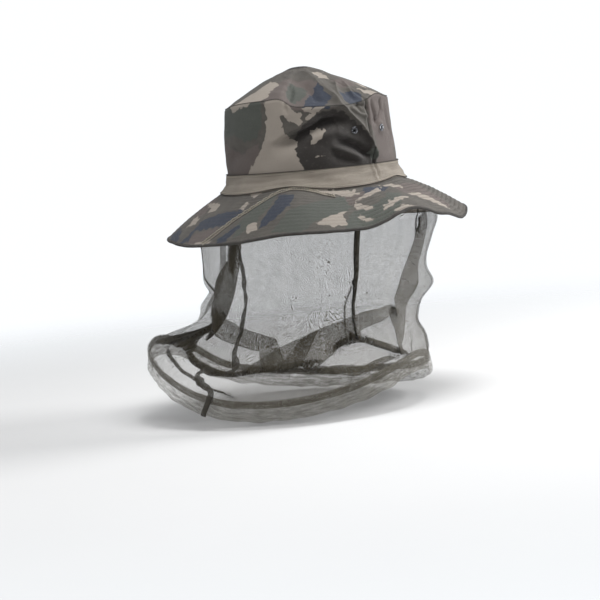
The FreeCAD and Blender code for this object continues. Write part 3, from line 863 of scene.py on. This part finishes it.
def net_material(name, pitch, thread, colour, second, streaks=0.0, bunching_and_shade=False):
    """Knitted insect net: threads in a diamond mesh with holes between."""
    graph = Graph(name)
    place = graph.flat()
    split = graph.node("SeparateXYZ", {"Vector": place}).node
    wander = graph.math("MULTIPLY", graph.noise(place, 0.12, 2.0), 1.5)
    side = graph.math("ADD", split.outputs[0], wander)
    masks = []
    for sign in (1.0, -1.0):
        phase = graph.math("MULTIPLY_ADD", split.outputs[1], sign * 0.8, side)
        wave = graph.math("ABSOLUTE", graph.math("SINE", graph.math("MULTIPLY", phase, math.pi / pitch)))
        limit = math.sin(math.pi * thread / pitch / 2)
        if bunching_and_shade:
            limit = graph.math("MULTIPLY_ADD", graph.field("bunched_and_shaded"), 0.55, limit)
        masks.append(graph.math("LESS_THAN", wave, limit))
    cover = graph.math("MAXIMUM", masks[0], masks[1])
    if streaks:
        long_way = graph.node("Mapping", {"Vector": place, "Scale": (0.07, 0.45, 1.0)})
        streak = graph.ramp(graph.noise(long_way, 1.0, 4.0), 0.4, 0.7)
        cover = graph.math("MAXIMUM", cover, graph.math("MULTIPLY", streak, streaks))
    shade = graph.mix(graph.ramp(graph.noise(place, 0.6, 3.0), 0.35, 0.65), colour, second)
    if bunching_and_shade:
        # Painted shade: the colour darkens where threads gather in folds, as if the folds lay in shadow.
        shade = graph.mix(graph.math("MULTIPLY", graph.field("bunched_and_shaded"), 0.9), shade, srgb(30, 28, 22))
    return graph.surface(Base_Color=shade, Roughness=0.6, Specular_IOR_Level=0.4, Sheen_Weight=0.1,
                         Alpha=cover)


def metal_material(name):
    """Black-finished brass, brighter where it is rubbed."""
    graph = Graph(name)
    place = graph.node("TexCoord", {}, out="Object")
    rubbed = graph.ramp(graph.noise(place, 900.0, 4.0), 0.46, 0.6)
    colour = graph.mix(rubbed, srgb(28, 28, 32), srgb(168, 170, 176))
    roughness = graph.node("MapRange", {"Value": rubbed, "To Min": 0.28, "To Max": 0.45})
    return graph.surface(Base_Color=colour, Metallic=0.9, Roughness=roughness,
                         Normal=graph.bump(graph.noise(place, 1500.0, 3.0), 0.05))


CAMO_CROWN = camo_material("camo_crown_cloth", False)
CAMO_BRIM = camo_material("camo_brim_cloth", True)
BAND = cloth_material("band_cloth", srgb(144, 135, 124), srgb(154, 145, 133), patch=0.06)
SWEATBAND = cloth_material("sweatband_cloth", srgb(58, 56, 50), srgb(70, 67, 58), pitch=0.9)
EDGE_TAPE = cloth_material("edge_tape_cloth", srgb(52, 49, 46), srgb(66, 62, 57), pitch=0.5)
VEIL_TAPE = cloth_material("veil_tape_cloth", srgb(48, 45, 39), srgb(60, 56, 47), pitch=0.7)
THREAD = cloth_material("light_thread", srgb(208, 197, 180), srgb(190, 179, 162), pitch=0.3)
DARK_THREAD = cloth_material("dark_thread", srgb(36, 33, 30), srgb(48, 44, 40), pitch=0.3)
NET = net_material("insect_net", 1.5, 0.3, srgb(52, 46, 34), srgb(84, 76, 56), bunching_and_shade=True)
HEM_NET = net_material("hem_net", 1.2, 0.17, srgb(84, 80, 70), srgb(126, 121, 108), streaks=0.34)
SEAM_NET = net_material("seam_net", 0.9, 0.62, srgb(36, 32, 24), srgb(58, 52, 40))
ELASTIC = net_material("elastic_knit", 1.0, 0.36, srgb(60, 55, 44), srgb(84, 77, 62))
METAL = metal_material("eyelet_metal")


# ---- thread

def sewn(name, runs, material, pitch=2.8, length=2.0, radius=0.28):
    """Rows of stitches. Each run is a line of points and the cloth's normals along it."""
    points, faces, uv = [], [], []
    sides, rings = 6, 4
    for line, normals in runs:
        steps = np.linalg.norm(np.diff(line, axis=0), axis=1)
        at = np.concatenate([[0], np.cumsum(steps)])
        for start in np.arange(0.4, at[-1] - length, pitch):
            places = start + length * np.linspace(0, 1, rings)
            spine = np.stack([np.interp(places, at, line[:, k]) for k in range(3)], axis=-1)
            up = np.stack([np.interp(places, at, normals[:, k]) for k in range(3)], axis=-1)
            up = unit(up)
            way = unit(spine[-1] - spine[0])
            side = np.cross(up, way)
            spine = spine + up * (radius * np.sin(np.linspace(0, math.pi, rings)) - 0.1)[:, None]
            first = len(points)
            for ring in range(rings):
                girth = radius * (1.0 if 0 < ring < rings - 1 else 0.6)
                for k in range(sides):
                    angle = 2 * math.pi * k / sides
                    around_it = math.cos(angle) * side[ring] + math.sin(angle) * up[ring]
                    points.append(spine[ring] + girth * around_it)
            for ring in range(rings - 1):
                for k in range(sides):
                    a = first + ring * sides + k
                    b = first + ring * sides + (k + 1) % sides
                    faces.append((a, b, b + sides, a + sides))
                    uv += [(k, ring), (k + 1, ring), (k + 1, ring + 1), (k, ring + 1)]
            faces.append(tuple(first + k for k in reversed(range(sides))))
            faces.append(tuple(first + (rings - 1) * sides + k for k in range(sides)))
            uv += [(0, 0)] * (2 * sides)
    return finish_piece(name, points, faces, material, corner_uv=uv)


# ---- crown

def seen_share(turn):
    """1 on the side that the photograph shows, 0 round the other side."""
    gap = np.abs(turn_gap(turn, CAMERA_TURN))
    return smooth(100, 86, gap)


def crown_panel(name, first, last, node):
    """One of the two halves of the crown's wall, with its eyelet holes."""
    turn, share = grid(np.linspace(first, last, 271), np.linspace(0, 1, 78))
    points = crown_wall(turn, share)
    flat = unroll(turn, points[..., 2])
    fields = printed(flat, points, WALL_PRINT_AND_SHADE, WALL_ARC, seen_share(turn))
    panel = cloth_grid(name, points, flat, CAMO_CROWN, fields=fields,
                       holes=near_eyelets(flat, 2, 2.4))
    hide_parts(node)
    thicken(panel, 1.0)


crown_panel("crown_back_cloth", 0, SIDE_SEAMS[0], "crown_back_panel")
crown_panel("crown_front_cloth", SIDE_SEAMS[0], 360, "crown_front_panel")


def top_panel():
    """The crown's top, with a small round hole left at its peak."""
    turn, share = grid(np.arange(0, 360, 0.8), np.linspace(0, 1, 80)[1:])
    points = crown_tip(turn, share)
    plan = points[..., :2]
    fields = printed(plan, points, TIP_PRINT, 1.0, seen_share(turn) * smooth(0.1, 0.3, share))
    tip = cloth_grid("crown_tip_cloth", points, round_again(plan, 0), CAMO_CROWN, closed=True,
                     flip=True, fields=fields)
    rows, columns = turn.shape
    close_centre(tip, [row * columns for row in range(rows)])
    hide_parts("crown_tip")
    thicken(tip, 1.0)


def close_centre(piece, ring):
    """Fills the small round hole at the middle of a disc with a fan to one point."""
    mesh = bmesh.new()
    mesh.from_mesh(piece.data)
    mesh.verts.ensure_lookup_table()
    corners = [mesh.verts[i] for i in ring]
    middle = mesh.verts.new(sum((v.co for v in corners), Vector()) / len(corners))
    for layer in mesh.verts.layers.float.values():
        middle[layer] = corners[0][layer]
    uv = mesh.loops.layers.uv["cloth"]
    for a, b in zip(corners, corners[1:] + corners[:1]):
        face = mesh.faces.new((middle, a, b))
        face.smooth = True
        for loop in face.loops:
            loop[uv].uv = (loop.vert.co.x / MM, loop.vert.co.y / MM)
    mesh.to_mesh(piece.data)
    mesh.free()


top_panel()


def inner_band():
    """The sweatband, inside the crown."""
    low, high = size_of("sweatband")
    turn, share = grid(np.arange(0, 360, 0.8), np.linspace(0, 1, 30))
    wall = crown_wall(turn, share * (high[2] - low[2]) / rim_height(turn))
    outwards = outward(turn)
    points = wall - outwards * (1.5 + 0.3 * swell(wall, 30, 61))[..., None]
    points[..., 2] += low[2] - 0.5
    flat = round_again(unroll(turn, share * 32), WALL_ARC)
    band = cloth_grid("sweatband_cloth", points, flat, SWEATBAND, closed=True)
    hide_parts("sweatband")
    thicken(band, 1.0)
    top = points[:, -3] - outwards[:, -3] * 1.1
    sewn("sweatband_stitches", [(top, -outwards[:, -3])], DARK_THREAD)


inner_band()


def hat_band_profile(turn, share):
    """The band round the crown's foot: down the wall, then out on to the brim."""
    foot = brim(turn, np.full_like(turn, BAND_FOOT), 0)
    wall = crown_wall(turn, 11.8 / rim_height(turn))
    outwards = outward(turn)
    top = wall + outwards * 1.7
    knee = wall + outwards * 2.0 + np.array([0, 0, -10.5])
    end = foot + np.array([0, 0, 1.0])
    s = share[..., None]
    points = (1 - s) ** 2 * top + 2 * s * (1 - s) * knee + s**2 * end
    ripple = 0.55 * swell(np.stack([turn * 0.28, share * 22], axis=-1), 9, 71)
    ripple = ripple + 0.5 * swell(np.stack([turn * 0.6, share * 22], axis=-1), 22, 72)
    ripple = ripple * np.sin(math.pi * np.clip(share, 0, 1)) + 0.7 * hump(turn_gap(turn, 178), 0, 1.0)
    ripple = ripple - 0.35 * (hump(share, 0.07, 0.03) + hump(share, 0.94, 0.03))
    return points + ripple[..., None] * (outwards + [0, 0, 0.5])


def crown_seams():
    """The dark thread that shows in the crown's side seams and round its rim."""
    runs = []
    shares = np.linspace(0.13, 0.99, 60)
    for side in reversed(SIDE_SEAMS):
        turns = np.full_like(shares, side)
        runs.append((crown_wall(turns, shares), outward(turns)))
    turns = np.arange(0, 360, 1.0)
    runs.append((crown_wall(turns, np.ones_like(turns)), outward(turns)))
    sewn("crown_seam_stitches", runs, DARK_THREAD, pitch=2.4, length=2.2, radius=0.35)


crown_seams()


def outer_band():
    """The plain band, its light stitches, and dark edge thread that is partly painted shadow at its top and
    foot.
    """
    turn, share = grid(np.arange(0, 360, 0.6), np.linspace(0, 1, 32))
    points = hat_band_profile(turn, share)
    flat = round_again(unroll(turn, share * 26), WALL_ARC)
    band = cloth_grid("hat_band_cloth", points, flat, BAND, closed=True, flip=True)
    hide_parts("hat_band")
    thicken(band, 1.3)
    normals = -surface_normals(points, True)
    runs = [(points[:, 3], normals[:, 3]), (points[:, -4], normals[:, -4])]
    sewn("band_stitches", runs, THREAD, pitch=2.8, length=2.0, radius=0.4)
    # Partly painted shadow: near-continuous dark thread along the band's top and foot stands in for the
    # shadow lines there.
    edges = [(points[:, 0], normals[:, 0]), (points[:, -1], normals[:, -1])]
    sewn("band_edge_thread_and_shadow", edges, DARK_THREAD, pitch=2.4, length=2.3, radius=0.42)


outer_band()


# ---- brim

def brim_ply(name, turn, reach, points, seen, upper):
    """One of the brim's two cloths, printed and quilted."""
    flat = brim_flat(turn, reach)
    fields = printed(flat, points, BRIM_PRINT, BRIM_ARC, seen)
    fields["quilt"] = quilting(turn, reach)
    return cloth_grid(name, points, round_again(flat, BRIM_ARC), CAMO_BRIM, closed=True,
                      flip=upper, fields=fields)


def brim_plies():
    """The brim's upper cloth, which hides the stiffener, and its under cloth."""
    turn, reach = grid(np.arange(0, 360, 0.6), np.linspace(0.3, BRIM_REACH, 80))
    top = brim_ply("brim_top_cloth", turn, reach, brim(turn, reach), seen_share(turn), True)
    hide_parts("brim_top_ply", "brim_interlining")
    thicken(top, 1.2)
    turn, reach = grid(np.arange(0, 360, 0.8), np.linspace(0.3, BRIM_REACH, 70))
    under = brim(turn, reach)
    under_normals = surface_normals(under, True)
    stitched = 0.35 * quilting(turn, reach) * (0.5 - 0.5 * np.cos(2 * math.pi * (reach - 2) / QUILT_PITCH))
    points = under + under_normals * (ply_thickness(reach) + stitched)[..., None]
    bottom = brim_ply("brim_under_cloth", turn, reach, points, 0 * turn, False)
    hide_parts("brim_bottom_ply")
    thicken(bottom, 1.0)


brim_plies()


def ring_tube(name, middle, out, up, half_out, half_up, material, body, sides, round_arc, power):
    """A closed tube round the hat. middle, out and up are rows along the ring, and the section is a
    superellipse."""
    angle = np.linspace(0, 2 * math.pi, sides, endpoint=False)
    c = np.sign(np.cos(angle)) * np.abs(np.cos(angle)) ** (2 / power)
    s = np.sign(np.sin(angle)) * np.abs(np.sin(angle)) ** (2 / power)
    across, high = (c * half_out)[:, None], (s * half_up)[:, None]
    points = middle[:, None] + out[:, None] * across + up[:, None] * high
    around_mm = np.linspace(0, 360 * round_arc, len(middle) + 1)
    flat = np.stack(grid(around_mm, np.linspace(0, 4 * max(half_out, half_up), sides + 1)), axis=-1)
    return cloth_grid(name, points, flat, material, closed=True, tube=True, body=body)


def brim_binding():
    """The dark tape that is wrapped round the brim's edge."""
    turns = np.arange(0, 360, 0.6)
    edge, inner = [brim(turns, np.full_like(turns, reach), 0) for reach in (BRIM_REACH, BRIM_REACH - 4)]
    out = unit(edge - inner)
    along = np.roll(edge, -1, axis=0) - np.roll(edge, 1, axis=0)
    up = unit(np.cross(out, along))
    up *= np.sign(up[:, 2:3])
    half = ply_thickness(BRIM_REACH) / 2
    middle = edge - up * half - out * 0.6
    binding = ring_tube("brim_edge_cloth", middle, out, up, 1.7, half + 0.4, EDGE_TAPE, "hat",
                        sides=16, round_arc=2.9, power=3.0)
    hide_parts("brim_edge_binding")


brim_binding()


def twin_seam():
    """Two rows of light thread on the oblique seam."""
    knots = np.array(TWIN_SEAM)
    at = np.linspace(0, len(knots) - 1, 160)
    path = np.stack([hermite(np.arange(len(knots)), knots[:, k], at) for k in range(2)], axis=-1)
    path = path[path[:, 1] < BRIM_REACH - 1]
    runs = []
    for shift in (-1.8, 1.8):
        flat = brim_flat(path[:, 0], path[:, 1])
        way = unit(np.gradient(flat, axis=0))
        moved = flat + np.stack([-way[:, 1], way[:, 0]], axis=-1) * shift
        turn, reach = moved[:, 0] / BRIM_ARC, moved[:, 1]
        line = brim(turn, reach)
        normals = unit(np.cross(brim(turn, reach + 0.5) - line, brim(turn + 0.3, reach) - line))
        normals *= np.sign(normals[:, 2:3])
        runs.append((line + normals * 0.3, normals))
    sewn("brim_seam_stitches", runs, THREAD, pitch=2.7, length=2.5, radius=0.7)


twin_seam()


# ---- eyelets

for node_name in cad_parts:
    if node_name.startswith("eyelet"):
        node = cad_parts[node_name]
        node.data.materials.clear()
        node.data.materials.append(METAL)


# ---- veil

def veil_tape():
    """The tape that sews the net's top to the under side of the brim."""
    turn, across = grid(np.arange(0, 360, 0.8), np.linspace(-TAPE_HALF_WIDTH, TAPE_HALF_WIDTH, 8))
    under = brim(turn, VEIL_REACH + across, 0)
    points = under + surface_normals(under, True) * (BRIM_THICK + TAPE_DROP / 2)
    flat = round_again(np.stack([turn * NET_ARC, across], axis=-1), NET_ARC)
    tape = cloth_grid("veil_tape_cloth", points, flat, VEIL_TAPE, closed=True)
    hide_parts("veil_top_tape")
    thicken(tape, 0.9)


veil_tape()


def veil_net():
    """The net, with a finer mesh where the folds are."""
    turns = np.concatenate([np.arange(0, 36, 1.2), np.arange(36, 228, 0.42), np.arange(228, 360, 1.2)])
    points, flat, bunched_and_shaded = net_surface(*grid(turns, np.linspace(0, 1, 150)))
    net = cloth_grid("veil_net_cloth", points, round_again(flat, NET_ARC), NET, closed=True, flip=True,
                     body=None, fields={"bunched_and_shaded": bunched_and_shaded})
    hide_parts("veil_net")
    return net


VEIL_BLEND = {"start": (0, 0, -0.036), "end": (0, 0, -0.176)}
net = veil_net()
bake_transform(net, "hat", "veil_hem", **VEIL_BLEND)

BACK_SEAM = [  # turn, height
    (94, -38), (94.5, -58), (94.5, -69), (95.5, -83), (96.5, -101), (98, -117), (98, -133), (98.5, -147),
    (98.5, -161), (100.5, -174), (103.5, -184), (102, -189.5), (96, -189.5), (90, -186), (87.5, -189),
    (88.5, -193), (91.5, -199), (95.5, -203.5), (97.5, -209), (98, -217),
]


def back_seam():
    """The veil's back seam: a narrow double strip that wanders with the net and follows its rolled fold."""
    knots = np.array(BACK_SEAM, float)
    at = np.linspace(0, len(knots) - 1, 320)
    turn, height = [hermite(np.arange(len(knots)), knots[:, k], at) for k in range(2)]
    line = np.stack([turn * NET_ARC, height], axis=-1)
    way = unit(np.gradient(line, axis=0))
    left = np.stack([-way[:, 1], way[:, 0]], axis=-1)
    width = 2.8 + 0.5 * np.sin(at * 2.1) + 0.3 * np.sin(at * 5.3)
    lines = []
    for across in np.linspace(-1, 1, 7):
        flat = line + left * (across * width)[:, None]
        turns = flat[:, 0] / NET_ARC
        top = veil_top(turns)[..., 2]
        foot = hem_height_at(turns) + NET_FOOT
        place = veil_hull(turns, np.clip((flat[:, 1] - top) / (foot - top), 0, 1))
        out = 3.2 + 0.8 * np.sin(at * 3.1) - 0.9 * across**2 + 0.5 * np.sin(at * 7 + across * 2)
        lines.append(place + out[:, None] * outward(turns))
    points = np.stack(lines, axis=1)
    flat = np.stack(grid(at * 10, np.linspace(-2, 2, 7)), axis=-1)
    seam = cloth_grid("veil_seam_cloth", points, flat, SEAM_NET, body=None)
    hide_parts("veil_back_seam")
    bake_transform(seam, "hat", "veil_hem", **VEIL_BLEND)


back_seam()


# ---- hem

HEM_ARC = 2.7  # mm round the hem to a degree of turn


def hem_frame(turns):
    """The hem's middle line, its outward way and its upward way."""
    middle, out = hem_middle(turns), outward(turns)
    along = np.roll(middle, -1, axis=0) - np.roll(middle, 1, axis=0)
    return middle, out, unit(np.cross(out, along))


def hem():
    """The gathered see-through casing and the flat elastic inside it."""
    turns = np.arange(0, 360, 0.45)
    middle, out, up = hem_frame(turns)
    phase = np.radians(turns)
    gather = np.sin(phase * 97 + 2 * np.sin(phase * 11)) + 0.6 * np.sin(phase * 151 + 3 * np.sin(phase * 5))
    sides = 28
    angle = np.linspace(0, 2 * math.pi, sides, endpoint=False)
    c = np.sign(np.cos(angle)) * np.abs(np.cos(angle)) ** 0.8
    s = np.sin(angle)
    half_out = 2.3
    slack = smooth(0.5, -0.6, s)
    across, high = (c * half_out)[:, None], (s * HEM_HEIGHT / 2)[:, None]
    points = middle[:, None] + out[:, None] * across + up[:, None] * high
    ripple = (0.2 + 0.2 * slack)[None] * gather[:, None] * 0.4 + 0.9 * swell(points, 24, 81)
    ripple = ripple + 0.3 * swell(points, 8, 82)
    points = points + out[:, None] * ripple[..., None]
    edge = 0.8 * swell(middle, 22, 83) + 0.06 * gather
    points = points + up[:, None] * (edge[:, None] * smooth(0.5, -1, s)[None])[..., None]
    around_mm = np.linspace(0, 360 * HEM_ARC, len(turns) + 1)
    flat = np.stack(grid(around_mm, np.linspace(0, 52, sides + 1)), axis=-1)
    casing = cloth_grid("hem_casing_cloth", points, flat, HEM_NET, closed=True, tube=True,
                        body="veil_hem")
    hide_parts("hem_casing")
    elastic = ring_tube("hem_elastic_band", middle + up * 6.4, out, up, 0.8, 3.6, ELASTIC,
                        "veil_hem", sides=20, round_arc=HEM_ARC, power=4.0)
    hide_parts("hem_elastic")


hem()


def hem_tab():
    """The veil's back seam, folded down over the hem."""
    shares = np.linspace(0, 1, 40)
    lines = []
    for across in np.linspace(-1, 1, 9):
        turn = 98.5 - 4.5 * shares + across * 3.2 / 2.6
        out = 3.9 - 1.2 * (2 * shares - 1) ** 2 - 0.5 * across**2 + 0.4 * np.sin(shares * 9)
        place = hem_middle(turn) + outward(turn) * out[:, None]
        place[:, 2] += HEM_HEIGHT * (0.56 - 1.1 * shares)
        lines.append(place)
    points = np.stack(lines, axis=1)
    flat = np.stack(grid(np.linspace(0, 26, 40), np.linspace(-3, 3, 9)), axis=-1)
    tab = cloth_grid("hem_tab_cloth", points, flat, SEAM_NET, body="veil_hem")
    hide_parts("hem_seam_tab")
    thicken(tab, 0.7)


hem_tab()


# ---- studio: floor, light and camera

def studio():
    """The pale paper floor, which fades into the background, and the background."""
    floor_mesh = bpy.data.meshes.new("floor")
    low = cad_box[0][2] - 0.012
    side = 1.6
    corners = [(-side, -side, low), (side, -side, low), (side, side, low), (-side, side, low)]
    floor_mesh.from_pydata(corners, [], [(0, 1, 2, 3)])
    floor = bpy.data.objects.new("floor", floor_mesh)
    bpy.context.scene.collection.objects.link(floor)
    graph = Graph("floor_paper")
    place = graph.node("TexCoord", {}, out="Object")
    far = graph.node("VectorMath", {0: place}, out="Value", operation="LENGTH")
    paper = graph.mix(graph.noise(place, 3.0, 3.0), (0.78, 0.78, 0.78, 1), (0.82, 0.82, 0.82, 1))
    fade_range = {"Value": far, "From Min": 0.4, "From Max": 1.5, "To Min": 1.0, "To Max": 0.0}
    fade = graph.node("MapRange", fade_range, interpolation_type="SMOOTHSTEP")
    material = graph.surface(Base_Color=paper, Roughness=0.9, Specular_IOR_Level=0.1, Alpha=fade)
    floor_mesh.materials.append(material)
    world = bpy.data.worlds.new("studio")
    world.use_nodes = True
    nodes, links = world.node_tree.nodes, world.node_tree.links
    background = nodes["Background"]
    background.inputs[0].default_value = (0.95, 0.975, 1.0, 1)
    seen = nodes.new("ShaderNodeLightPath")
    strength = nodes.new("ShaderNodeMapRange")
    strength.inputs["To Min"].default_value = 0.28
    strength.inputs["To Max"].default_value = 1.05
    links.new(seen.outputs["Is Camera Ray"], strength.inputs["Value"])
    links.new(strength.outputs[0], background.inputs[1])
    bpy.context.scene.world = world


def soft_light(name, turn, distance, height, size, power):
    """A square softbox at a turn round the hat, aimed at it."""
    lamp = bpy.data.lights.new(name, "AREA")
    lamp.shape = "SQUARE"
    lamp.size = size
    lamp.energy = power
    light = bpy.data.objects.new(name, lamp)
    angle = math.radians(turn)
    light.location = (distance * math.cos(angle), distance * math.sin(angle), height)
    way = Vector((0, 0, -0.03)) - light.location
    light.rotation_euler = way.to_track_quat("-Z", "Y").to_euler()
    bpy.context.scene.collection.objects.link(light)


def camera():
    """The photograph's view, from behind the wearer's right shoulder, with the hat tipped 5 degrees."""
    distance, eye_height, roll, lens = 2.5, 0.086, math.radians(5), 136.6
    angle = math.radians(CAMERA_TURN)
    eye = Vector((distance * math.cos(angle), distance * math.sin(angle), eye_height))
    side = Vector((-math.sin(angle), math.cos(angle), 0))
    aim = side * -0.0265 + Vector((0, 0, -0.133))
    forward = (aim - eye).normalized()
    level = forward.cross(Vector((0, 0, 1))).normalized()
    up = level.cross(forward)
    right = level * math.cos(roll) - up * math.sin(roll)
    tilted_up = level * math.sin(roll) + up * math.cos(roll)
    data = bpy.data.cameras.new("camera")
    data.lens = lens
    data.sensor_width = 36
    data.clip_end = 50
    made = bpy.data.objects.new("camera", data)
    columns = Matrix((right, tilted_up, -forward)).transposed().to_4x4()
    made.matrix_world = Matrix.Translation(eye) @ columns
    bpy.context.scene.collection.objects.link(made)
    bpy.context.scene.camera = made


studio()
soft_light("top_softbox", 168, 0.45, 1.6, 0.8, 22)
soft_light("right_softbox", 236, 1.6, 0.55, 0.8, 29)
soft_light("left_fill", 50, 2.0, 0.5, 1.5, 7)
soft_light("front_fill", 125, 2.6, 0.9, 1.5, 7)
camera()
bpy.context.scene.view_settings.view_transform = "Standard"
bpy.context.scene.cycles.transparent_max_bounces = 40
